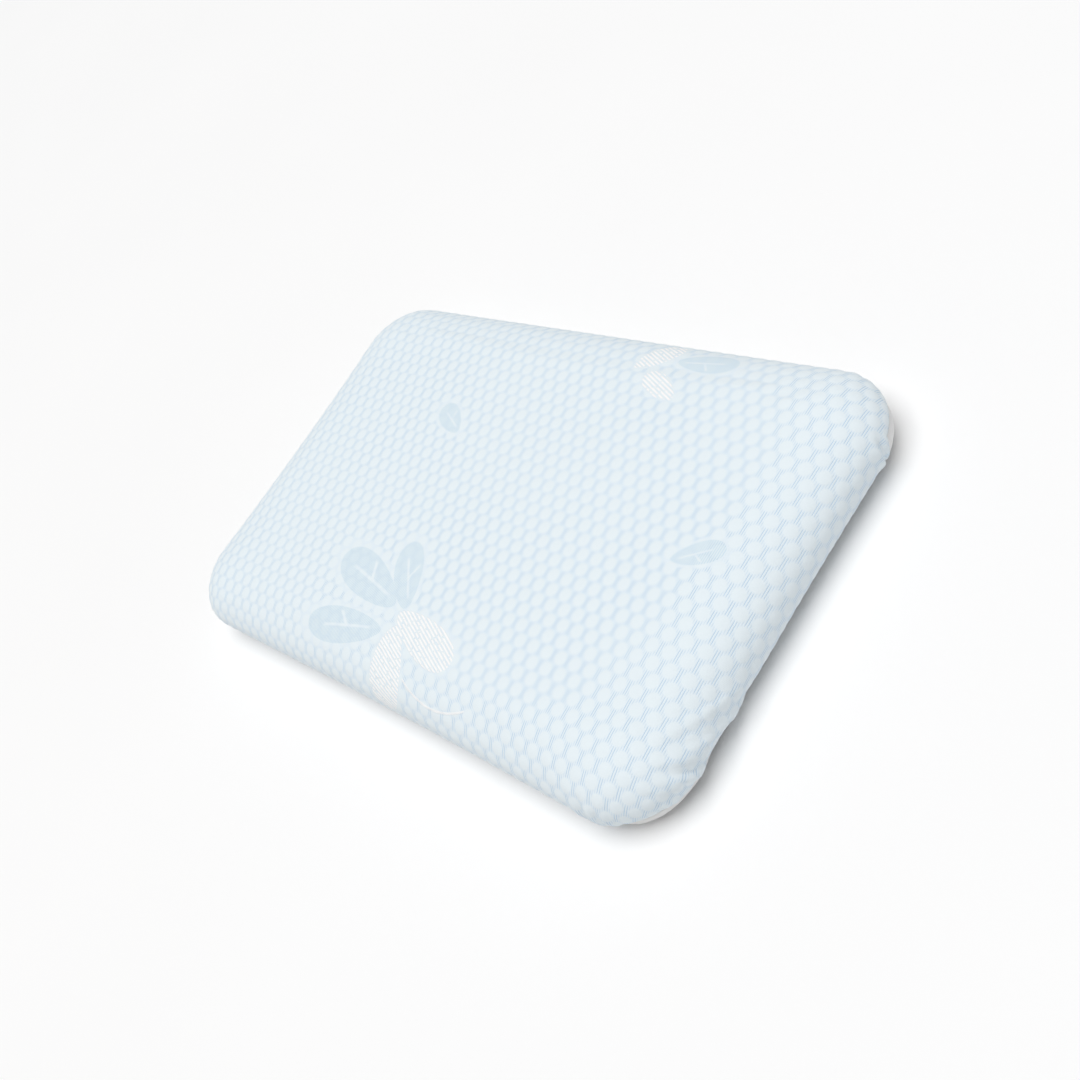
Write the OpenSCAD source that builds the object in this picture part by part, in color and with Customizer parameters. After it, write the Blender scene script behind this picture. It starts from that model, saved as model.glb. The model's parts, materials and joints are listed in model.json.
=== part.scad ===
// Slim memory-foam bed pillow in a zipped, two-panel knitted cover.
// Frame: X along the long side, -Y the front long side, +Y the rear long side with the zip, Z up.
// Origin: centre of the pillow's footprint, on the surface that it lies on.

/* [Pillow] */
// Length of the long side
pillow_w = 500; // [440:5:640]
// Depth, front to rear
pillow_d = 300; // [260:5:400]
// Height at the middle of the crown
pillow_h = 50; // [48:1:64]
// Plan radius of the four corners
corner_r = 48; // [40:1:56]
// How far the crown rises above the shoulder
crown = 2; // [1:0.5:4]

/* [Edge] */
// Height of the fullest line of the side wall
full_z = 22; // [21:0.5:23]
// How far in from the side the flat underside starts
edge_low = 22; // [18:0.5:24]
// How far in from the side the shoulder meets the crown
edge_top = 42; // [34:1:46]
// How far the short sides pull in between their corners
pull_end = 2.5; // [0:0.5:4]
// How far the front side pulls in between its corners
pull_front = 2.5; // [0:0.5:4]

/* [Layers] */
// Thickness of the jacquard top panel and of the white under panel
cover_t = 2; // [1.5:0.1:2.2]
// Thickness of the inner liner's tricot
liner_t = 0.8; // [0.5:0.1:1]
// Height of the seam that joins the two cover panels, everywhere but along the zip
seam_z = 5; // [4.6:0.1:6]
// Height of the seam that joins the two liner panels
liner_seam_z = 27; // [26:1:30]

/* [Zip] */
// Height of the chain, where the under panel is turned up to meet the top panel
zip_z = 21; // [20.5:0.1:21.5]
// Length of the opening that the zip closes
slot_l = 380; // [300:5:385]
// Height of the opening between the two cover lips
slot_h = 9; // [8.6:0.1:9.4]
// Width of each tape, from the chain outwards
tape_w = 10; // [9:0.5:10]
// Length of the covered end that the closed slider's tab lies in
garage_l = 28; // [27:1:34]
// Length of the pull tab
tab_l = 21; // [16:1:22]

/* [Hidden] */

arc_n = 8;          // steps round a plan corner
short_n = 6;        // steps along a short side
long_n = 10;        // steps along a long side
edge_n = 6;         // steps up each edge curve
half_w = pillow_w / 2;
half_d = pillow_d / 2;
shoulder_z = pillow_h - crown;
crown_insets = [70, 105, 135];   // plan rings of the crown, from the shoulder inwards

// Distances in from the outside of the cover
seam_in = cover_t + 0.1;         // sewn allowance, on the cover's inner face
seam_t = 1.2;
tape_seat = cover_t + 0.5;       // zip tapes, where they are sewn to the cover's inner face
liner_in = 3.6;
foam_in = liner_in + liner_t + 0.3;
rear_ease = 3.5;                 // extra room between liner and cover behind the zip

// Distances in from the rear wall to the zip's pieces
tab_in = 0.4;
tab_t = 0.9;
pin_in = tab_in + tab_t / 2;
plate_in = 1.7;
plate_t = 0.8;
coil_in = plate_in + plate_t + 0.3;
coil_t = 1.6;
tape_in = coil_in + coil_t;
tape_t = 0.5;
back_plate_in = tape_in + tape_t + 0.3;

coil_gap = 0.7;                  // from the chain's centre line to each coil
coil_h = 2.2;
chain_x0 = -slot_l / 2 + 3;
chain_x1 = slot_l / 2 - garage_l;
stop_l = 2.5;
slider_l = 8.6;
slider_h = 7.6;
slider_x = chain_x1 - slider_l / 2 - 0.7;
turn_l = slot_l + 16;            // length of the under panel's turned-up stretch
turn_in = 30;

blue = [0.86, 0.93, 0.97];
white = [0.96, 0.96, 0.95];
coil_white = [0.90, 0.91, 0.92];
foam_cream = [0.95, 0.92, 0.82];
metal = [0.78, 0.79, 0.81];

// ---- Plan outline -------------------------------------------------------------------------

// One plan corner: an arc of radius r about [cx, cy] that starts at angle a0
function corner(cx, cy, r, a0) =
    [for (i = [0:arc_n]) [cx + r * cos(a0 + 90 * i / arc_n), cy + r * sin(a0 + 90 * i / arc_n)]];

// The points between two corners, without the corners themselves
function side(p, q, n) = [for (i = [1:n - 1]) p + (q - p) * i / n];

// The sides pull in at their middle, except the rear one, which stays straight for the zip
function pulled(p) = [
    p[0] * (1 - pull_end / half_w * pow(cos(90 * p[1] / half_d), 2)),
    p[1] * (1 - (p[1] < 0 ? pull_front : 0) / half_d * pow(cos(90 * p[0] / half_w), 2))
];

// Plan ring at a distance in from the outline, counter-clockwise from the right-hand side
function ring(inset) =
    let (a = half_w - inset, b = half_d - inset, r = max(corner_r - inset, 5), ca = a - r, cb = b - r)
    [for (p = concat(
        corner(ca, cb, r, 0), side([ca, b], [-ca, b], long_n),
        corner(-ca, cb, r, 90), side([-a, cb], [-a, -cb], short_n),
        corner(-ca, -cb, r, 180), side([-ca, -b], [ca, -b], long_n),
        corner(ca, -cb, r, 270), side([a, -cb], [a, cb], short_n)
    )) pulled(p)];

ring_n = len(ring(0));

// ---- Section of the wall, at a distance d in from the outside of the cover ------------------

// Lower edge, a quarter ellipse from the flat underside (q = 0) out to the fullest line (q = 90)
function low_at(d, q) = [edge_low - (edge_low - d) * sin(q), full_z - (full_z - d) * cos(q)];
// Upper edge, a quarter ellipse from the fullest line (q = 0) in to the shoulder (q = 90)
function top_at(d, q) =
    [edge_top - (edge_top - d) * cos(q), full_z + (shoulder_z - full_z - d) * sin(q)];
// Angles at which those curves reach a height
function low_q(d, z) = acos((full_z - z) / (full_z - d));
function top_q(d, z) = asin((z - full_z) / (shoulder_z - full_z - d));

function low_part(d, z0, z1) =
    let (q0 = low_q(d, z0), q1 = low_q(d, z1))
    [for (i = [0:edge_n]) low_at(d, q0 + (q1 - q0) * i / edge_n)];
function top_part(d, z0, z1) =
    let (q0 = top_q(d, z0), q1 = top_q(d, z1))
    [for (i = [0:edge_n]) top_at(d, q0 + (q1 - q0) * i / edge_n)];
// The crown rises from the shoulder to its full height over the middle of the pillow
function crown_part(d) = [for (inset = crown_insets)
    [inset, shoulder_z - d + crown * sin(90 * (inset - edge_top) / (half_d - edge_top))]];

// How far in from the rear wall's outline the section lies at height z
function wall_in(d, z) = z < full_z ? low_at(d, low_q(d, z))[0] : top_at(d, top_q(d, z))[0];

// ---- Closed solids from rings ---------------------------------------------------------------

// One ring per [inset, z] of the section; ease moves its rear half forward
function section_ring(s, ease) =
    [for (p = ring(s[0])) [p[0], p[1] * (p[1] > 0 ? 1 - ease / half_d : 1), s[1]]];

// Triangles between ring k and ring m
function band(k, m) = [for (i = [0:ring_n - 1]) let (j = (i + 1) % ring_n)
    each [[k * ring_n + i, m * ring_n + i, m * ring_n + j], [k * ring_n + i, m * ring_n + j, k * ring_n + j]]];

// A solid between a floor and a crown: rings run from the underside outwards, up and in
module filled(sections, top_z, ease) {
    n = len(sections);
    points = concat([for (s = sections) each section_ring(s, ease)],
        [[0, 0, sections[0][1]], [0, 0, top_z]]);
    faces = concat(
        [for (k = [0:n - 2]) each band(k, k + 1)],
        [for (i = [0:ring_n - 1]) [n * ring_n, i, (i + 1) % ring_n]],
        [for (i = [0:ring_n - 1]) [n * ring_n + 1, (n - 1) * ring_n + (i + 1) % ring_n, (n - 1) * ring_n + i]]
    );
    polyhedron(points = points, faces = faces);
}

// A shell with one open rim: the outer section runs from its rim to the middle, then the inner one
// runs back from the middle to the rim. The turn at the middle closes over the two centre points.
module skin(outer, inner, outer_z, inner_z, ease, upward) {
    n = len(outer);
    m = len(inner);
    points = concat(
        [for (s = outer) each section_ring(s, ease)], [for (s = inner) each section_ring(s, ease)],
        [[0, 0, outer_z], [0, 0, inner_z]]
    );
    centre = (n + m) * ring_n;
    up_faces = concat(
        [for (k = [0:n - 2]) each band(k, k + 1)],
        [for (k = [0:m - 2]) each band(n + k + 1, n + k)],
        band(n, 0),
        [for (i = [0:ring_n - 1]) [centre, (n - 1) * ring_n + (i + 1) % ring_n, (n - 1) * ring_n + i]],
        [for (i = [0:ring_n - 1]) let (k = n + m - 1) [centre + 1, k * ring_n + i, k * ring_n + (i + 1) % ring_n]]
    );
    polyhedron(points = points, faces = upward ? up_faces : [for (f = up_faces) [f[2], f[1], f[0]]]);
}

// A closed band round the pillow, between two distances in from the cover, over a height range
module hoop(outer, inner, ease) {
    n = len(outer);
    points = concat([for (s = outer) each section_ring(s, ease)], [for (s = inner) each section_ring(s, ease)]);
    faces = concat(
        [for (k = [0:n - 2]) each band(k, k + 1)],
        [for (k = [0:n - 2]) each band(n + k + 1, n + k)],
        band(n, 0), band(n - 1, 2 * n - 1)
    );
    polyhedron(points = points, faces = faces);
}

// An upper shell, from its rim at height z over the crown
module upper_skin(d, t, z, ease) {
    skin(upper_section(d, z), upper_section(d + t, z), pillow_h - d, pillow_h - d - t, ease, true);
}

function upper_section(d, z) = z < full_z
    ? concat(low_part(d, z, full_z), [for (i = [1:edge_n]) top_at(d, 90 * i / edge_n)], crown_part(d))
    : concat(top_part(d, z, shoulder_z - d), crown_part(d));

// A lower shell, from its rim at height z down and in over the flat underside
module lower_skin(d, t, z, ease) {
    skin(lower_section(d, z), lower_section(d + t, z), d, d + t, ease, false);
}

function lower_section(d, z) =
    let (edge = z < full_z
        ? low_part(d, z, d)
        : concat(top_part(d, z, full_z), [for (i = [1:edge_n]) low_at(d, 90 - 90 * i / edge_n)]))
    concat(edge, [[half_d * 0.6, d]]);

// ---- Filling --------------------------------------------------------------------------------

// Moulded slab of visco-elastic foam
module foam_core() {
    d = foam_in;
    lower = [for (i = [0:edge_n]) low_at(d, 90 * i / edge_n)];
    upper = [for (i = [1:edge_n]) top_at(d, 90 * i / edge_n)];
    color(foam_cream)
        filled(concat([[half_d * 0.6, d]], lower, upper, crown_part(d)), pillow_h - d, rear_ease);
}

// Tricot liner over the top and shoulders of the foam
module liner_top() {
    color(white) upper_skin(liner_in, liner_t, liner_seam_z, rear_ease);
}

// Tricot liner under the foam and up its sides
module liner_bottom() {
    color(white) lower_skin(liner_in, liner_t, liner_seam_z, rear_ease);
}

// Overlocked seam round the liner, on the outside of its two panels
module liner_seam() {
    z0 = liner_seam_z - 2;
    z1 = liner_seam_z + 2;
    color(white)
        hoop(top_part(liner_in - 1.1, z0, z1), top_part(liner_in - 0.1, z0, z1), rear_ease);
}

// ---- Zipped cover ---------------------------------------------------------------------------

// The opening between the two cover panels that the zip closes
module zip_slot() {
    translate([-slot_l / 2, half_d - 8, zip_z - slot_h / 2]) cube([slot_l, 20, slot_h]);
}

// The stretch of the rear wall on which the under panel is turned up to the zip
module turned_up(low_z, high_z) {
    translate([-turn_l / 2, half_d - turn_in, low_z]) cube([turn_l, 2 * turn_in, high_z - low_z]);
}

// Pale blue jacquard knit over the top and down the sides
module cover_top() {
    color(blue) difference() {
        upper_skin(0, cover_t, seam_z, 0);
        turned_up(0, zip_z);
        zip_slot();
    }
}

// White knit under panel: the lower skin up to the zip, cut down to the seam all round but at the rear
module cover_under() {
    color(white) difference() {
        lower_skin(0, cover_t, zip_z, 0);
        difference() {
            translate([-pillow_w, -pillow_d, seam_z]) cube([2 * pillow_w, 2 * pillow_d, pillow_h]);
            turned_up(0, 2 * pillow_h);
        }
        zip_slot();
    }
}

// Overlocked seam allowance, folded up inside the top panel, everywhere but behind the zip
module edge_seam() {
    low_z = seam_z + 0.2;
    high_z = seam_z + 7;
    color(white) difference() {
        hoop(low_part(seam_in, low_z, high_z), low_part(seam_in + seam_t, low_z, high_z), 0);
        turned_up(0, full_z);
    }
}

// ---- Zip ------------------------------------------------------------------------------------

// Extrudes a [distance in from the rear wall, height] outline along X between two places
module along_zip(x0, x1, outline) {
    translate([x0, 0, 0]) rotate([90, 0, 90]) linear_extrude(height = x1 - x0)
        polygon([for (p = outline) [half_d - p[0], p[1]]]);
}

// A box given by its two ends along X, its distances in from the rear wall and its heights
module zip_box(x0, x1, in0, in1, z0, z1) {
    translate([x0, half_d - in1, z0]) cube([x1 - x0, in1 - in0, z1 - z0]);
}

// One woven tape: flat behind the chain, then stepped out to the cover's inner face; way is 1 or -1
module zip_tape(way) {
    steps = concat([[0.9, tape_in], [4.3, tape_in]],
        [for (u = [6.3, 8.2, tape_w]) [u, wall_in(tape_seat, zip_z + way * u)]]);
    front = [for (s = steps) [s[1], zip_z + way * s[0]]];
    back = [for (i = [len(steps) - 1:-1:0]) [steps[i][1] + tape_t, zip_z + way * steps[i][0]]];
    along_zip(-slot_l / 2 - 4, slot_l / 2 + 4, concat(front, back));
}

module zip_tape_upper() {
    color(white) zip_tape(1);
}

module zip_tape_lower() {
    color(white) zip_tape(-1);
}

// One nylon coil, as its envelope: a bar with rounded edges; way is 1 or -1
module zip_coil(way) {
    r = coil_t / 2;
    near = zip_z + way * (coil_gap + r);
    far = zip_z + way * (coil_gap + coil_h - r);
    translate([chain_x0, half_d - coil_in - r, 0]) rotate([0, 90, 0]) {
        linear_extrude(height = chain_x1 - chain_x0) union() {
            translate([-near, 0]) circle(r = r, $fn = 32);
            translate([-far, 0]) circle(r = r, $fn = 32);
            translate([-max(near, far), -r]) square([abs(far - near), 2 * r]);
        }
    }
}

module zip_coil_upper() {
    color(coil_white) zip_coil(1);
}

module zip_coil_lower() {
    color(coil_white) zip_coil(-1);
}

// Two crimped stops, one on each tape, at the closed end
module zip_top_stops() {
    x0 = chain_x1 + 0.2;
    color(metal) for (z0 = [zip_z + coil_gap + 0.2, zip_z - coil_gap - 0.2 - coil_h])
        zip_box(x0, x0 + stop_l, coil_in, tape_in, z0, z0 + coil_h);
}

// One staple across both tapes at the open end
module zip_bottom_stop() {
    reach = coil_gap + coil_h;
    color(metal) zip_box(chain_x0 - 0.2 - stop_l, chain_x0 - 0.2, coil_in, tape_in, zip_z - reach, zip_z + reach);
}

// Dense cross stitches that close the two ends of the opening
module zip_bartacks() {
    reach = slot_h / 2 - 0.1;
    color(white) for (x0 = [-slot_l / 2 + 0.1, slot_l / 2 - 2.1])
        zip_box(x0, x0 + 2, 0.3, cover_t, zip_z - reach, zip_z + reach);
}

// Slider: outer plate with two flanges, nose bridge, back plate, and the pin that holds the tab
module zip_slider() {
    x0 = slider_x - slider_l / 2;
    x1 = slider_x + slider_l / 2;
    reach = slider_h / 2;
    post_z = 1.9;
    post_t = 0.7;
    color(metal) union() {
        zip_box(x0, x1, plate_in, plate_in + plate_t, zip_z - reach, zip_z + reach);
        zip_box(x0, x1, back_plate_in, back_plate_in + plate_t, zip_z - reach, zip_z + reach);
        zip_box(x1 - 2.2, x1 - 0.6, plate_in + plate_t - 0.1, back_plate_in + 0.1, zip_z - 0.4, zip_z + 0.4);
        for (z0 = [zip_z + reach - 0.5, zip_z - reach])
            zip_box(x0, x1, plate_in + plate_t - 0.1, tape_in - 0.3, z0, z0 + 0.5);
        for (z0 = [zip_z + post_z, zip_z - post_z - post_t])
            zip_box(slider_x - 0.8, slider_x + 0.8, 0.2, plate_in + 0.1, z0, z0 + post_t);
        translate([slider_x, half_d - pin_in, zip_z - post_z - 0.1])
            cylinder(r = 0.3, h = 2 * post_z + 0.2, $fn = 32);
    }
}

// Pull tab: an eye round the slider's pin, a neck between the posts and a blade with a hole
module zip_pull() {
    neck = 1.6;
    blade = 2.5;
    blade_x = slider_x + 3.2;
    end_x = slider_x + tab_l;
    color(metal) difference() {
        union() {
            translate([slider_x, half_d - pin_in, zip_z - neck]) cylinder(r = 0.75, h = 2 * neck, $fn = 32);
            zip_box(slider_x, blade_x + 0.1, tab_in, tab_in + tab_t, zip_z - neck, zip_z + neck);
            zip_box(blade_x, end_x - blade, tab_in, tab_in + tab_t, zip_z - blade, zip_z + blade);
            translate([end_x - blade, half_d - tab_in, zip_z]) rotate([90, 0, 0])
                cylinder(r = blade, h = tab_t, $fn = 48);
        }
        translate([slider_x, half_d - pin_in, zip_z - neck - 1]) cylinder(r = 0.4, h = 2 * neck + 2, $fn = 32);
        translate([end_x - blade, half_d + 1, zip_z]) rotate([90, 0, 0]) cylinder(r = 1.3, h = 4, $fn = 32);
    }
}

// ---- Label ----------------------------------------------------------------------------------

// Blank satin care label, caught in the seam beside the zip and lying inside the rear wall
module care_label() {
    label_w = 35;
    label_t = 0.4;
    gap = 1.4;
    low_z = zip_z + 5.6;
    high_z = full_z + 0.8 * (shoulder_z - tape_seat - full_z);
    heights = [for (i = [0:5]) low_z + (high_z - low_z) * i / 5];
    face = [for (z = heights) [wall_in(tape_seat, z) + gap, z]];
    back = [for (i = [len(heights) - 1:-1:0]) [face[i][0] + label_t, face[i][1]]];
    color(white) along_zip(-60, -60 + label_w, concat(face, back));
}

foam_core();
liner_top();
liner_bottom();
liner_seam();
cover_top();
cover_under();
edge_seam();
zip_tape_upper();
zip_tape_lower();
zip_coil_upper();
zip_coil_lower();
zip_top_stops();
zip_bottom_stop();
zip_bartacks();
zip_slider();
zip_pull();
care_label();
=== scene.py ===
import json

import bpy
import numpy as np
from mathutils import Matrix, Vector

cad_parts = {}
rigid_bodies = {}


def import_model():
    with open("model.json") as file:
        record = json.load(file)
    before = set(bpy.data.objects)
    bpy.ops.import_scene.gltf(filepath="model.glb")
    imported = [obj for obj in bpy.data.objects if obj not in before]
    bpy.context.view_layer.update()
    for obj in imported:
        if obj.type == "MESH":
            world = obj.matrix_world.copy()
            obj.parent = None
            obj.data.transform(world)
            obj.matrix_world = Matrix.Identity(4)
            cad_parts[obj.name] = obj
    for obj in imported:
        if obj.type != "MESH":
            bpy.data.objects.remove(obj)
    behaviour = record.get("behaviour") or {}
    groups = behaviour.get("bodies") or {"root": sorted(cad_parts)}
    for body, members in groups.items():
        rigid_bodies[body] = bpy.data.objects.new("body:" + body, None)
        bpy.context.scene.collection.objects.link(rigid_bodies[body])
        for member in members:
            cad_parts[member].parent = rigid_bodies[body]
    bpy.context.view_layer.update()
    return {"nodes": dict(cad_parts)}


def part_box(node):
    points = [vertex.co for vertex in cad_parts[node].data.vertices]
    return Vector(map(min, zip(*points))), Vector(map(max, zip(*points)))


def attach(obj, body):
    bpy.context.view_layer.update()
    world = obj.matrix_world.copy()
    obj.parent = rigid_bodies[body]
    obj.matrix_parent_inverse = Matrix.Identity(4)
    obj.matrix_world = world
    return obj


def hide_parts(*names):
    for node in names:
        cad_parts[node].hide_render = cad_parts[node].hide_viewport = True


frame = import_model()
MM = 0.001

# ---- Studio -------------------------------------------------------------------------------
# A pale floor, a camera that looks down from beyond the right-hand end and is rolled to the left,
# a wide soft light overhead, and weaker light from all round.

eye = Vector((0.6932, -0.2106, 0.5802))
aim = Vector((0.0515, -0.0085, 0.025))
roll = np.radians(45.6)

camera_data = bpy.data.cameras.new("camera")
camera_data.sensor_width = 36
camera_data.lens = 45.5
camera = bpy.data.objects.new("camera", camera_data)
bpy.context.scene.collection.objects.link(camera)
back = (eye - aim).normalized()
level_right = Vector((0, 0, 1)).cross(back).normalized()
level_up = back.cross(level_right)
up = level_up * np.cos(roll) + level_right * np.sin(roll)
right = up.cross(back)
turn = Matrix((right, up, back)).transposed()
camera.matrix_world = Matrix.Translation(eye) @ turn.to_4x4()
bpy.context.scene.camera = camera


def lamp(name, kind, place, strength, colour, **settings):
    """A lamp of a kind at a place, facing the pillow."""
    data = bpy.data.lights.new(name, kind)
    data.energy = strength
    data.color = colour
    for key, value in settings.items():
        setattr(data, key, value)
    made = bpy.data.objects.new(name, data)
    made.location = place
    made.rotation_euler = Vector(place).to_track_quat("Z", "Y").to_euler()
    bpy.context.scene.collection.objects.link(made)


lamp("overhead", "SUN", (0.05, -0.1, 2.0), 2.3, (1.0, 1.0, 1.0), angle=np.radians(55))
lamp("front_softbox", "AREA", (-0.9, -1.8, 0.7), 1.2, (1.0, 0.84, 0.70), size=1.0)
lamp("right_softbox", "AREA", (1.9, 0.2, 0.7), 1.0, (0.76, 0.86, 1.0), size=1.0)

world = bpy.data.worlds.new("studio")
world.use_nodes = True
world.node_tree.nodes["Background"].inputs["Color"].default_value = (1.0, 1.0, 1.0, 1)
world.node_tree.nodes["Background"].inputs["Strength"].default_value = 0.27
bpy.context.scene.world = world
bpy.context.scene.view_settings.view_transform = "Standard"


class Wire:
    """A node's output that takes part in arithmetic: an expression on it adds Math nodes."""

    def __init__(self, surface, socket):
        self.surface = surface
        self.socket = socket

    def math(self, operation, *values):
        return self.surface.node("Math", {"operation": operation}, dict(enumerate(values)))

    def __add__(self, other):
        return self.math("ADD", self, other)

    __radd__ = __add__

    def __sub__(self, other):
        return self.math("SUBTRACT", self, other)

    def __rsub__(self, other):
        return self.math("SUBTRACT", other, self)

    def __mul__(self, other):
        return self.math("MULTIPLY", self, other)

    __rmul__ = __mul__

    def __truediv__(self, other):
        return self.math("DIVIDE", self, other)

    def sin(self):
        return self.math("SINE", self)

    def abs(self):
        return self.math("ABSOLUTE", self)

    def sqrt(self):
        return self.math("SQRT", self)

    def min(self, other):
        return self.math("MINIMUM", self, other)

    def max(self, other):
        return self.math("MAXIMUM", self, other)

    def wrap(self, period):
        """The value brought into -period/2 to period/2."""
        return self.math("WRAP", self, period / 2, -period / 2)

    def ramp(self, low, high):
        """0 below low, 1 above high, and an S curve between."""
        settings = {"interpolation_type": "SMOOTHSTEP"}
        return self.surface.node("MapRange", settings, {"Value": self, "From Min": low, "From Max": high})


class Surface:
    """One material: a Principled shader with constants on its own sockets, and any nodes beside it."""

    def __init__(self, name, **constants):
        self.material = bpy.data.materials.new(name)
        self.material.use_nodes = True
        self.tree = self.material.node_tree
        self.shader = self.tree.nodes["Principled BSDF"]
        for socket, value in constants.items():
            self.shader.inputs[socket.replace("_", " ")].default_value = value

    def node(self, kind, settings=None, inputs=None, out=0):
        """Adds a node of a type, sets its settings and then its inputs, and gives one output."""
        made = self.tree.nodes.new("ShaderNode" + kind)
        for key, value in (settings or {}).items():
            setattr(made, key, value)
        for key, value in (inputs or {}).items():
            if isinstance(value, Wire):
                self.tree.links.new(value.socket, made.inputs[key])
            else:
                made.inputs[key].default_value = value
        return Wire(self, made.outputs[out])

    def mix(self, factor, first, second):
        """A colour between two, each a colour or a wire."""
        inputs = {0: factor, 6: first, 7: second}
        return self.node("Mix", {"data_type": "RGBA"}, inputs, out=2)

    def noise(self, place, scale, detail=2.0, roughness=0.5):
        """Fractal noise from 0 to 1 at a place."""
        inputs = {"Vector": place, "Scale": scale, "Detail": detail, "Roughness": roughness}
        return self.node("TexNoise", {}, inputs)

    def objects(self):
        """The place on the piece, in metres."""
        return self.node("TexCoord", out=3)

    def cloth(self):
        """The place on the flat cloth before it was made up, in metres."""
        return self.node("UVMap", {"uv_map": "cloth"})

    def axes(self, place):
        """A place's three numbers."""
        split = self.node("SeparateXYZ", {}, {0: place})
        sockets = split.socket.node.outputs
        return [Wire(self, sockets[i]) for i in range(3)]

    def finish(self, colour=None, roughness=None, height=None, depth=0.001, strength=1.0):
        """Links what varies over the surface to the shader."""
        inputs = self.shader.inputs
        if colour is not None:
            self.tree.links.new(colour.socket, inputs["Base Color"])
        if roughness is not None:
            self.tree.links.new(roughness.socket, inputs["Roughness"])
        if height is not None:
            bump = self.node("Bump", {}, {"Strength": strength, "Distance": depth, "Height": height})
            self.tree.links.new(bump.socket, inputs["Normal"])
        return self.material


def srgb(red, green, blue):
    """A colour given as it looks on a screen, turned into the light that it sends back."""
    seen = np.array([red, green, blue])
    light = np.where(seen <= 0.04045, seen / 12.92, ((seen + 0.055) / 1.055) ** 2.4)
    return (*light, 1.0)


floor_reach = 6.0
floor_mesh = bpy.data.meshes.new("floor")
floor_corners = [(-floor_reach, -floor_reach, 0), (floor_reach, -floor_reach, 0)]
floor_corners += [(floor_reach, floor_reach, 0), (-floor_reach, floor_reach, 0)]
floor_mesh.from_pydata(floor_corners, [], [(0, 1, 2, 3)])
floor = bpy.data.objects.new("floor", floor_mesh)
bpy.context.scene.collection.objects.link(floor)
backdrop = Surface("pale_floor", Roughness=0.9)
grain = backdrop.noise(backdrop.objects(), 3.0)
floor_mesh.materials.append(
    backdrop.finish(backdrop.mix(grain, srgb(0.975, 0.975, 0.975), srgb(0.985, 0.985, 0.985)))
)

# ---- Cover, top panel ---------------------------------------------------------------------
# One sheet of pale blue jacquard knit, drawn over the foam and down its sides to the seam.
# Its cells are puffed by a filling yarn, and ribs show in the grooves between them.

low_corner, high_corner = (np.array(c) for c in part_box("cover_top"))

# The outline and the section that the cover is draped on
half_w = 250 * MM
half_d = 150 * MM
height = high_corner[2]
seam_z = low_corner[2]
corner_r = 48 * MM
crown = 2 * MM
shoulder_z = height - crown
full_z = 22 * MM
edge_low = 22 * MM
edge_top = 42 * MM
pull_in = 2.5 * MM
cover_t = 2 * MM
slot_low, slot_high = (np.array(c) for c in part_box("zip_bartacks"))
slot_half = slot_high[0]
slot_h = slot_high[2] - slot_low[2]
zip_z = (slot_low[2] + slot_high[2]) / 2

cell_pitch = 12.05 * MM
cell_row = 9.05 * MM
rib_pitch = cell_pitch / 8
cell_puff = 0.4 * MM


def walk(points):
    """The way walked along a line of points, from its first."""
    steps = np.hypot(*np.diff(points, axis=0).T)
    return np.concatenate([[0], np.cumsum(steps)])


def low_angle(z):
    """Where the lower edge's quarter ellipse reaches a height: 0 underneath, a right angle at the side."""
    return np.arccos((full_z - z) / full_z)


def top_section(fineness=200):
    """The top sheet's section as [inset, height]: up the lower edge's quarter ellipse from the seam to the
    fullest line, then up and in round the shoulder's quarter ellipse, then level to the middle."""
    low = np.linspace(low_angle(seam_z), np.pi / 2, fineness)
    high = np.linspace(0, np.pi / 2, fineness)
    lower = np.stack([edge_low * (1 - np.sin(low)), full_z * (1 - np.cos(low))], 1)
    upper = np.stack([edge_top * (1 - np.cos(high)), full_z + (shoulder_z - full_z) * np.sin(high)], 1)
    return np.concatenate([lower, upper[1:], [[half_d, shoulder_z]]])


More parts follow.
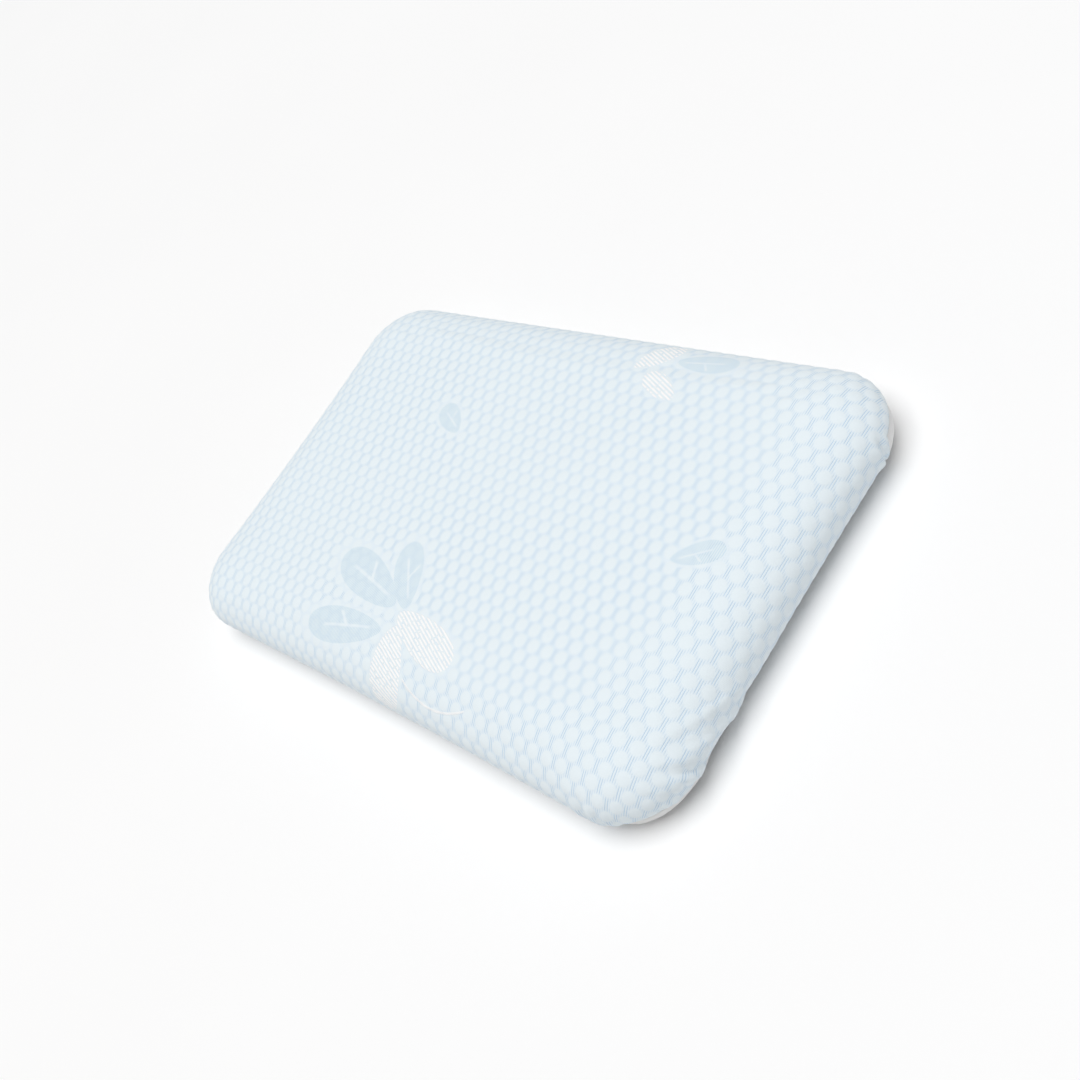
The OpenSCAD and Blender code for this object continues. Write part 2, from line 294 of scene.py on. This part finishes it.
def drape(section, rim_z, ease, count_s, count_t):
    """A rectangular sheet laid over the pillow: its points' places, their places on the flat cloth, and
    their way in from its rim. That way in gives a point's inset and height on the section, which starts at
    the height rim_z(x, y) and takes up the difference over a stretch of length ease. Its way along the
    nearest edge gives its place round the plan outline: the same place on the straight stretch, and past
    that evenly round half of the rounded corner. On the flat cloth the point lies further out, straight away
    from the outline, by as much as the way down the wall is longer than its inset."""
    way = walk(section)
    spare = way[-1] - section[-1, 0]
    half_s, half_t = half_w + spare, half_d + spare
    across_s, across_t = np.linspace(-half_s, half_s, count_s), np.linspace(-half_t, half_t, count_t)
    s, t = np.meshgrid(across_s, across_t, indexing="ij")
    from_s, from_t = half_s - np.abs(s), half_t - np.abs(t)
    on_side = from_t <= from_s
    inward = np.minimum(from_s, from_t)

    def place(depth):
        inset = np.interp(depth, way, section[:, 0])
        radius = np.maximum(corner_r - inset, 0)
        straight_x = half_w - np.maximum(corner_r, inset)
        straight_y = half_d - np.maximum(corner_r, inset)

        def along(w, straight, sheet_end):
            over = np.clip((w - straight) / np.maximum(sheet_end - inward - straight, 1e-9), 0, 1)
            return np.minimum(w, straight), over * np.pi / 4

        side_x, side_turn = along(np.abs(s), straight_x, half_s)
        end_y, end_turn = along(np.abs(t), straight_y, half_t)
        out_x = np.where(on_side, np.sin(side_turn), np.cos(end_turn))
        out_y = np.where(on_side, np.cos(side_turn), np.sin(end_turn))
        base_x = np.where(on_side, side_x, straight_x)
        base_y = np.where(on_side, straight_y, end_y)
        extra = radius + inset + spare - depth
        signs = np.stack([np.sign(s), np.sign(t)], -1)
        plan = np.stack([base_x + radius * out_x, base_y + radius * out_y], -1) * signs
        flat = np.stack([base_x + extra * out_x, base_y + extra * out_y], -1) * signs
        return plan, flat, np.interp(depth, way, section[:, 1])

    outline = place(np.zeros_like(inward))[0]
    wall = slice(0, np.argmax(np.abs(np.diff(section[:, 1])) < 1e-6))
    heights, ways = section[wall, 1], way[wall]
    order = np.argsort(heights)
    start = np.interp(rim_z(outline[..., 0], outline[..., 1]), heights[order], ways[order])
    plan, flat, level = place(inward + start * np.clip(1 - inward / ease, 0, 1))
    return np.concatenate([plan, level[..., None]], -1), flat, inward


def pulled(points):
    """The sides pull in at their middle by a squared cosine, except the straight rear one."""
    x, y, z = np.moveaxis(points, -1, 0)
    ends = pull_in / half_w * np.cos(np.pi / 2 * np.clip(y / half_d, -1, 1)) ** 2
    front = np.where(y < 0, pull_in, 0) / half_d * np.cos(np.pi / 2 * np.clip(x / half_w, -1, 1)) ** 2
    return np.stack([x * (1 - ends), y * (1 - front), z], -1)


def normals(points):
    """The unit direction outwards at each point of a grid, from its two tangents. A rim point takes the one
    next to it, because the grid's two edges run on in one line at a rounded corner."""
    along_s = np.gradient(points, axis=0)
    along_t = np.gradient(points, axis=1)
    across = np.cross(along_s, along_t)[1:-1, 1:-1]
    across = np.pad(across, ((1, 1), (1, 1), (0, 0)), mode="edge")
    return across / np.maximum(np.linalg.norm(across, axis=-1, keepdims=True), 1e-12)


def smooth(value, low, high):
    """0 below low, 1 above high, and an S curve between."""
    x = np.clip((value - low) / (high - low), 0, 1)
    return x * x * (3 - 2 * x)


# Shifts that bring a cell's centre to zero: centres lie in rows, and each second row is half a cell along
CELL_ROWS = ((0, 0), (cell_pitch / 2, cell_row))

# Leaves and petals knitted into the cloth: centre on the cloth, half length, half width and turn
BLUE_PETALS = [
    (-45, -82, 41, 19, 165), (-11, -70, 28, 16, 127), (-43, -119, 40, 17, 190),
    (115, 131, 24, 12, 5), (-71, 48, 18, 11, 150), (199, 4, 18, 10, 27),
]
WHITE_PETALS = [
    (37, -105, 36, 17, 346), (14, -132, 29, 20, 283),
    (73, 131, 18, 13, 50), (94, 105, 19, 10, 155),
]


def petal(s, t, shape):
    """Above 0 inside a petal: an oval that narrows towards its root, and its two own axes."""
    centre_s, centre_t, length, width, turn = shape
    angle = np.radians(turn)
    ds, dt = s - centre_s * MM, t - centre_t * MM
    u = (ds * np.cos(angle) + dt * np.sin(angle)) * (1 / (length * MM))
    v = (dt * np.cos(angle) - ds * np.sin(angle)) * (1 / (width * MM))
    taper = u * 0.22 + 0.78
    return 1 - u * u - v * v / (taper * taper), u, v


def knit_relief(s, t, inward):
    """Height of the knit over its ground: each cell is a round dome. The cells fade towards the seam and
    give way to flat ground under a petal and to raised stitches on a white one."""
    nearest = np.full_like(s, np.inf)
    for shift_s, shift_t in CELL_ROWS:
        ds = (s + shift_s + cell_pitch / 2) % cell_pitch - cell_pitch / 2
        dt = (t + shift_t + cell_row) % (2 * cell_row) - cell_row
        nearest = np.minimum(nearest, np.hypot(ds, dt))
    flat = np.zeros_like(s)
    raised = np.zeros_like(s)
    for shape in BLUE_PETALS:
        flat = np.maximum(flat, smooth(petal(s, t, shape)[0], -0.6, -0.1))
    for shape in WHITE_PETALS:
        raised = np.maximum(raised, smooth(petal(s, t, shape)[0], -0.1, 0.15))
    dome = 1 - smooth(nearest, 2.0 * MM, 5.6 * MM)
    relief = dome * (1 - np.maximum(flat, raised)) + 0.5 * flat + 0.9 * raised
    return cell_puff * relief * smooth(inward, 1.5 * MM, 9 * MM)


# Creases where the gathered cloth puckers at the corners: start and end on the cloth, depth and width
# before crease_relief limits them
CREASES = [
    (267, -58, 243, -100, 3.8, 4.2), (270, -92, 244, -116, 3.2, 3.6), (262, -122, 244, -134, 1.6, 4.0),
    (206, -174, 201, -144, 1.5, 3.5), (219, -172, 213, -146, 1.2, 3.0), (232, -166, 222, -146, 0.9, 3.4),
    (-272, -118, -246, -112, 1.5, 3.6), (-260, -150, -240, -134, 1.4, 3.8),
    (-226, -172, -218, -148, 1.1, 3.4),
    (-272, 112, -246, 108, 1.4, 3.6), (-258, 152, -238, 134, 1.5, 3.8), (-222, 172, -216, 148, 1.2, 3.4),
    (274, 108, 252, 110, 2.2, 3.2), (204, 174, 202, 148, 0.8, 4.0),
]
drawn_in = 2.0 * MM
deepest_crease = 1.2 * MM


def crease_relief(s, t):
    """How far the cloth stands off: along each crease a valley between two low ridges, which dies away at
    the crease's inner end. No valley goes deeper than deepest_crease, to keep it clear of the liner's seam.
    At the front right corner the cloth is also drawn in."""
    total = np.zeros_like(s)
    for start_s, start_t, end_s, end_t, depth, width in CREASES:
        start, end = np.array([start_s, start_t]) * MM, np.array([end_s, end_t]) * MM
        run = end - start
        length = np.hypot(*run)
        ds, dt = s - start[0], t - start[1]
        u = (ds * run[0] + dt * run[1]) / length**2
        v = (dt * run[0] - ds * run[1]) / length / (width * MM)
        bow = 0.35 * np.sin(np.pi * np.clip(u, 0, 1))
        fade = smooth(u, -0.35, 0.1) * (1 - smooth(u, 0.35, 1.15))
        ridges = 0.7 * np.exp(-((v - bow - 1.5) ** 2)) + 0.4 * np.exp(-((v - bow + 1.5) ** 2))
        total += depth * MM * fade * (ridges - np.exp(-((v - bow) ** 2) * 1.6))
    for centre_s, centre_t in ((250, -148), (262, -72)):
        away = np.hypot(s - centre_s * MM, t - centre_t * MM) / (28 * MM)
        total -= drawn_in * np.exp(-(away**2))
    return np.maximum(total, -deepest_crease)


def grid_mesh(name, points, cloth):
    """A mesh from a grid of points, with the flat cloth's places as its UV map. Faces turn outwards."""
    rows, columns = points.shape[:2]
    index = np.arange(rows * columns).reshape(rows, columns)
    faces = np.stack([index[:-1, :-1], index[1:, :-1], index[1:, 1:], index[:-1, 1:]], -1).reshape(-1, 4)
    mesh = bpy.data.meshes.new(name)
    mesh.vertices.add(rows * columns)
    mesh.vertices.foreach_set("co", points.reshape(-1))
    mesh.loops.add(faces.size)
    mesh.loops.foreach_set("vertex_index", faces.reshape(-1))
    mesh.polygons.add(len(faces))
    mesh.polygons.foreach_set("loop_start", np.arange(0, faces.size, 4))
    mesh.polygons.foreach_set("use_smooth", np.ones(len(faces), bool))
    layer = mesh.uv_layers.new(name="cloth")
    layer.uv.foreach_set("vector", cloth.reshape(-1, 2)[faces.reshape(-1)].reshape(-1))
    mesh.update()
    mesh.validate()
    made = bpy.data.objects.new(name, mesh)
    bpy.context.scene.collection.objects.link(made)
    return made


def thicken(piece, thickness):
    """Gives a sheet its thickness inwards, with its rims closed."""
    shell = piece.modifiers.new("thickness", "SOLIDIFY")
    shell.thickness = thickness
    shell.offset = -1
    shell.use_rim = True
    return piece


def settle(points, cloth, step=3, frames=20, give_in=0.3 * MM, give_out=1.0 * MM):
    """Lets a draped sheet settle as cloth for a number of frames, filled out by light pressure from inside
    while its rim is held. Each step-th point takes part and the others follow in between. The foam below
    lets no point sink further than give_in, and none rises or slides further than give_out."""
    sheet = grid_mesh("settling_sheet", points[::step, ::step], cloth[::step, ::step])
    start = points[::step, ::step]
    index = np.arange(start.shape[0] * start.shape[1]).reshape(start.shape[:2])
    rim = sheet.vertex_groups.new(name="rim")
    rim.add(np.setdiff1d(index, index[1:-1, 1:-1]).tolist(), 1.0, "REPLACE")
    solver = sheet.modifiers.new("cloth", "CLOTH")
    solver.settings.vertex_group_mass = "rim"
    solver.settings.quality = 6
    solver.settings.use_pressure = True
    solver.settings.uniform_pressure_force = 0.5
    solver.settings.tension_stiffness = 60
    solver.settings.compression_stiffness = 60
    solver.settings.effector_weights.gravity = 0
    solver.point_cache.frame_end = frames
    scene = bpy.context.scene
    for moment in range(1, frames + 1):
        scene.frame_set(moment)
    settled = np.empty(start.size)
    found = sheet.evaluated_get(bpy.context.evaluated_depsgraph_get())
    found.data.vertices.foreach_get("co", settled)
    move = settled.reshape(start.shape) - start
    up = normals(start)
    rise = (move * up).sum(-1, keepdims=True)
    slide = move - rise * up
    slide *= np.minimum(1, give_out / np.maximum(np.linalg.norm(slide, axis=-1, keepdims=True), 1e-9))
    move = slide + up * np.clip(rise, -give_in, give_out)
    scene.frame_set(1)
    bpy.data.objects.remove(sheet)

    fine_s, fine_t = np.arange(points.shape[0]) / step, np.arange(points.shape[1]) / step
    base_s = np.minimum(fine_s.astype(int), start.shape[0] - 2)
    base_t = np.minimum(fine_t.astype(int), start.shape[1] - 2)
    part_s = (fine_s - base_s)[:, None, None]
    part_t = (fine_t - base_t)[None, :, None]
    rows = move[base_s] * (1 - part_s) + move[base_s + 1] * part_s
    return points + rows[:, base_t] * (1 - part_t) + rows[:, base_t + 1] * part_t


far_corner_z = 21 * MM
rim_lap = 0.8 * MM


def rim_height(x, y, side):
    """Height of a panel's edge at a place round the outline. It keeps to the seam, rides up a little where
    the corners pucker and at the rear right corner, and along the rear wall climbs to the zip, where side is
    1 for the upper lip and -1 for the lower one. Away from the zip each edge reaches rim_lap past the seam,
    so that the two lap."""
    lifts = [(248, -99, 8, 8), (238, -134, 7, 26), (-240, -134, 3, 20)]
    level = np.full_like(x, seam_z)
    for centre_x, centre_y, rise, reach in lifts:
        away = np.hypot(x - centre_x * MM, y - centre_y * MM) / (reach * MM)
        level = level + rise * MM * np.exp(-(away**2))
    far_corner = smooth(y, 107 * MM, 113 * MM) * smooth(x, 0, 10 * MM)
    level = level + (far_corner_z - level) * far_corner
    climb = smooth(y, 0, half_d / 2) * (1 - smooth(np.abs(x), slot_half + 6 * MM, half_w - 8 * MM))
    level = level + (zip_z - level) * climb
    lip = smooth(y, 0, half_d / 2) * (1 - smooth(np.abs(x), slot_half - 2 * MM, slot_half + 4 * MM))
    return level + side * (lip * slot_h / 2 - (1 - lip) * rim_lap)


top_s, top_t = 289, 187
top_ease = 70 * MM
ripple = 0.5 * MM
section = top_section()
points, cloth, inward = drape(section, lambda x, y: rim_height(x, y, 1), top_ease, top_s, top_t)
s, t = cloth[..., 0], cloth[..., 1]
over_x = np.clip(np.abs(points[..., 0]) / (half_w - edge_top), 0, 1)
over_y = np.clip(np.abs(points[..., 1]) / (half_d - edge_top), 0, 1)
points[..., 2] += crown * (1 - over_x**4) * (1 - over_y**3)
waves = np.sin(s * 31 + 1) * np.sin(t * 37 + 2) - 1
points[..., 2] += ripple * waves * smooth(inward, 20 * MM, top_ease)
points = pulled(points)
seam_tuck = -1.6 * MM * np.exp(-((inward / (3.0 * MM)) ** 2))
points = points + normals(points) * (crease_relief(s, t) - cell_puff + seam_tuck)[..., None]
points = settle(points, cloth)
points = points + normals(points) * knit_relief(s, t, inward)[..., None]
points[..., 2] = np.clip(points[..., 2], 0.5 * MM, height + 1 * MM)
cover_top = thicken(grid_mesh("cover_top_panel", points, cloth), cover_t - cell_puff)


def jacquard():
    """Pale blue knit: whiter puffed cells, ribs of a bluer yarn in the grooves between them, petals of the
    same ribs, and raised white rows of stitches on the white petals and their curl."""
    knit = Surface("jacquard_knit", Roughness=0.85, Sheen_Weight=0.1, Sheen_Roughness=0.5)
    knit.shader.inputs["Specular IOR Level"].default_value = 0.2
    place = knit.cloth()
    s, t, _ = knit.axes(place)
    nearest = groove = None
    for shift_s, shift_t in CELL_ROWS:
        ds = (s + shift_s).wrap(cell_pitch).abs()
        dt = (t + shift_t).wrap(2 * cell_row).abs()
        near = (ds * ds + dt * dt).sqrt()
        beside = (cell_pitch / 2 - ds).ramp(1.2 * MM, 2.8 * MM)
        between = (1 - beside) * (1 - dt.ramp(3.0 * MM, 5.5 * MM))
        nearest = near if nearest is None else nearest.min(near)
        groove = between if groove is None else groove.max(between)
    cell = 1 - nearest.ramp(3.6 * MM, 5.0 * MM)
    wobble = knit.noise(place, 700.0, 1.0)
    rib = ((s + wobble * (0.25 * MM)) * (2 * np.pi / rib_pitch) - np.pi / 2).sin().ramp(0.2, 0.95)
    stitch = (t * (2 * np.pi / (0.9 * MM))).sin() * 0.5 + 0.5

    blue = margin = white = 0
    for shape in BLUE_PETALS:
        inside, u, v = petal(s, t, shape)
        vein = (v - u * 0.12).abs().ramp(0.02, 0.10).max((u + 0.1).abs().ramp(0.5, 0.7))
        twig = (u + 0.1 + v * 0.4).abs().ramp(0.02, 0.06).max((v + 0.3).abs().ramp(0.25, 0.35))
        blue = (inside.ramp(0.02, 0.10) * vein * twig).max(blue)
        margin = inside.ramp(-0.75, -0.35).max(margin)
    for shape in WHITE_PETALS:
        inside, u, v = petal(s, t, shape)
        white = inside.ramp(-0.02, 0.06).max(white)
        margin = inside.ramp(-0.5, -0.1).max(margin)
    bend = (s - 66 * MM) * (1 / (33 * MM))
    curl = 1 - (t + 143 * MM - bend * bend * (9 * MM)).abs().ramp(0.5 * MM, 1.0 * MM)
    curl = curl * (1 - bend.abs().ramp(0.95, 1.0))
    slant = np.radians(24)
    row_pitch = 2.4 * MM
    row = ((s * np.sin(slant) + t * np.cos(slant)) * (2 * np.pi / row_pitch)).sin().ramp(-0.6, 0.3)
    gaps = knit.noise(place, 350.0, 1.0).ramp(0.34, 0.42)
    bright = (white * row * gaps).max(curl * (stitch * 0.5 + 0.5))

    patch = knit.noise(place, 9.0, 2.0).ramp(0.35, 0.7)
    lines = rib * (1 - cell * 0.94) * (1 - margin) * (groove * 0.65 + 0.22) * (patch * 0.25 + 0.75)
    colour = knit.mix(cell, srgb(0.903, 0.945, 0.972), srgb(0.913, 0.949, 0.967))
    colour = knit.mix(lines, colour, srgb(0.70, 0.81, 0.90))
    colour = knit.mix(blue * (rib * 0.45 + 0.15), colour, srgb(0.73, 0.85, 0.92))
    colour = knit.mix(bright, colour, srgb(1.0, 1.0, 1.0))
    fuzz = knit.noise(place, 2200.0, 2.0)
    height = fuzz * 0.4 + stitch * 0.2 - rib * (1 - cell) * 0.5 - blue * rib * 0.4 + bright * 1.3
    return knit.finish(colour, height=height, depth=0.25 * MM, strength=0.7)


cover_top.data.materials.append(jacquard())
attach(cover_top, "pillow")
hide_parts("cover_top")

# ---- Cover, under panel -------------------------------------------------------------------
# A sheet of plain white knit under the pillow, turned up its sides to the seam. It lies flat
# where the pillow rests on it.


def under_section(fineness=80):
    """The under sheet's section: down the lower edge's quarter ellipse from the zip, then in, level."""
    low = np.linspace(low_angle(zip_z), 0, fineness)
    lower = np.stack([edge_low * (1 - np.sin(low)), full_z * (1 - np.cos(low))], 1)
    return np.concatenate([lower, [[half_d, 0]]])


under_s, under_t = 241, 161
under_ease = 45 * MM
section = under_section()
points, cloth, inward = drape(section, lambda x, y: rim_height(x, y, -1), under_ease, under_s, under_t)
points = pulled(points)
out = -normals(points)
tuck = -2.4 * MM * np.exp(-((inward / (4.0 * MM)) ** 2))
points = points + out * tuck[..., None]
points[..., 2] = np.maximum(points[..., 2], 0)
cover_under = thicken(grid_mesh("cover_under_panel", points[::-1], cloth[::-1]), cover_t)


def white_knit():
    """Plain white knit: fine upright stitches with a soft, slightly cloudy surface, and painted shade in the
    grooves between the stitch columns.
    """
    knit = Surface("white_knit", Roughness=0.9, Sheen_Weight=0.3, Sheen_Roughness=0.5)
    place = knit.cloth()
    s, t, _ = knit.axes(place)
    wale = (s * (2 * np.pi / (1.1 * MM))).sin() * 0.5 + 0.5
    course = ((t + wale * (0.3 * MM)) * (2 * np.pi / (0.8 * MM))).sin() * 0.5 + 0.5
    cloud = knit.noise(place, 14.0, 3.0)
    colour = knit.mix(cloud, srgb(0.93, 0.93, 0.925), srgb(0.96, 0.96, 0.955))
    # The grey is painted shade in the grooves between the stitch columns, where the bump is lowest
    colour = knit.mix((1 - wale) * 0.25, colour, srgb(0.84, 0.85, 0.86))
    return knit.finish(colour, height=wale * 0.6 + course * 0.4, depth=0.2 * MM, strength=0.6)


cover_under.data.materials.append(white_knit())
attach(cover_under, "pillow")
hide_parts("cover_under")

# ---- Inner pieces -------------------------------------------------------------------------
# The moulded foam slab and the tricot liner that is overlocked round it lie inside the cover.


def foam():
    """Open-cell visco-elastic foam: cream, matt, with fine pores."""
    pad = Surface("memory_foam", Roughness=0.95)
    place = pad.objects()
    pores = pad.noise(place, 700.0, 3.0)
    colour = pad.mix(pad.noise(place, 25.0), srgb(0.95, 0.91, 0.80), srgb(0.97, 0.94, 0.85))
    return pad.finish(colour, height=pores, depth=0.4 * MM, strength=0.8)


def tricot(name, base, shade, pitch):
    """Thin knit of upright stitches at a pitch, in two near tones."""
    knit = Surface(name, Roughness=0.8, Sheen_Weight=0.2)
    x, y, z = knit.axes(knit.objects())
    wale = ((x + y) * (2 * np.pi / pitch)).sin() * 0.5 + 0.5
    course = ((z + (x - y) * 0.3) * (2 * np.pi / pitch)).sin() * 0.5 + 0.5
    colour = knit.mix(wale * course, base, shade)
    return knit.finish(colour, height=wale + course * 0.6, depth=0.15 * MM, strength=0.6)


liner = tricot("liner_tricot", srgb(0.95, 0.95, 0.93), srgb(0.88, 0.88, 0.87), 0.9 * MM)
thread = tricot("overlock_thread", srgb(0.95, 0.95, 0.94), srgb(0.84, 0.84, 0.84), 1.4 * MM)


def give(node, material):
    """Puts a material on a carried-over node."""
    slots = frame["nodes"][node].data.materials
    slots.clear()
    slots.append(material)


give("foam_core", foam())
for node in ("liner_top", "liner_bottom"):
    give(node, liner)
for node in ("liner_seam", "edge_seam", "zip_bartacks"):
    give(node, thread)

# ---- Zip ----------------------------------------------------------------------------------
# A nylon coil zip along the rear seam: two woven tapes with a coil sewn to each, a nickel slider
# with its pull tab, and stops at both ends.


def weave(name, base, shade, pitch):
    """Herringbone tape: diagonal ribs whose slant turns over every few ribs, with painted shade in the
    grooves between them.
    """
    tape = Surface(name, Roughness=0.75)
    x, y, z = tape.axes(tape.objects())
    slant = z.wrap(3 * MM).abs()
    rib = ((x + slant) * (2 * np.pi / pitch)).sin() * 0.5 + 0.5
    # The darker tone is painted shade, put in the grooves between the ribs where the bump is lowest
    return tape.finish(tape.mix(rib, shade, base), height=rib, depth=0.12 * MM, strength=0.7)


tape_look = weave("zip_tape", srgb(0.93, 0.94, 0.95), srgb(0.82, 0.84, 0.86), 0.7 * MM)
for node in ("zip_tape_upper", "zip_tape_lower"):
    give(node, tape_look)


def nickel():
    """Satin nickel plate with faint brush marks."""
    plate = Surface("satin_nickel", Metallic=1.0)
    marks = plate.noise(plate.objects(), 600.0, 3.0)
    colour = plate.mix(marks, srgb(0.80, 0.81, 0.82), srgb(0.72, 0.73, 0.75))
    return plate.finish(colour, roughness=marks * 0.15 + 0.25)


nickel_look = nickel()
for node in ("zip_top_stops", "zip_bottom_stop", "zip_slider", "zip_pull"):
    give(node, nickel_look)

coil_pitch = 1.5 * MM
wire_r = 0.28 * MM
mesh_reach = 0.35 * MM


def coil(name, node, way):
    """One nylon coil: a round wire of radius wire_r wound in an upright oval helix along X inside its node's
    box, and twice mesh_reach past it on the side where the loops of the two coils mesh."""
    low, high = (np.array(c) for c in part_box(node))
    turns = int((high[0] - low[0]) / coil_pitch)
    centre = (low + high) / 2
    reach_y = (high[1] - low[1]) / 2 - wire_r
    reach_z = (high[2] - low[2]) / 2 - wire_r + mesh_reach
    phase = 0 if way > 0 else np.pi
    angle = np.arange(turns * 10 + 1) / 10 * 2 * np.pi
    x = low[0] + wire_r + (high[0] - low[0] - 2 * wire_r) * angle / angle[-1]
    y = centre[1] + reach_y * np.sin(angle + phase)
    z = centre[2] - way * mesh_reach + reach_z * np.cos(angle + phase)
    path = np.stack([x, y, z], -1)
    ahead = np.gradient(path, axis=0)
    ahead /= np.linalg.norm(ahead, axis=-1, keepdims=True)
    side = np.cross(ahead, [1.0, 0, 0])
    side /= np.linalg.norm(side, axis=-1, keepdims=True)
    other = np.cross(ahead, side)
    round_it = np.linspace(0, 2 * np.pi, 6, endpoint=False)
    ring = path[:, None] + wire_r * (
        np.cos(round_it)[None, :, None] * side[:, None] + np.sin(round_it)[None, :, None] * other[:, None]
    )
    count, sides = ring.shape[:2]
    index = np.arange(count * sides).reshape(count, sides)
    follow = np.roll(index, -1, axis=1)
    quads = np.stack([index[:-1], follow[:-1], follow[1:], index[1:]], -1).reshape(-1, 4)
    faces = quads.tolist() + [index[0][::-1].tolist(), index[-1].tolist()]
    mesh = bpy.data.meshes.new(name)
    mesh.from_pydata(ring.reshape(-1, 3), [], faces)
    mesh.polygons.foreach_set("use_smooth", np.ones(len(faces), bool))
    made = bpy.data.objects.new(name, mesh)
    bpy.context.scene.collection.objects.link(made)
    return made


def nylon():
    """Semi-gloss nylon wire, faintly clouded."""
    wire = Surface("nylon_coil", Roughness=0.35)
    cloud = wire.noise(wire.objects(), 400.0)
    return wire.finish(wire.mix(cloud, srgb(0.90, 0.92, 0.93), srgb(0.95, 0.96, 0.96)))


nylon_look = nylon()
for name, node, way in (("coil_upper", "zip_coil_upper", 1), ("coil_lower", "zip_coil_lower", -1)):
    loops = coil(name, node, way)
    loops.data.materials.append(nylon_look)
    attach(loops, "pillow")
    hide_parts(node)

# ---- Care label ---------------------------------------------------------------------------
# A blank satin ribbon inside the rear wall.

give("care_label", weave("label_satin", srgb(0.97, 0.97, 0.97), srgb(0.92, 0.92, 0.93), 0.4 * MM))
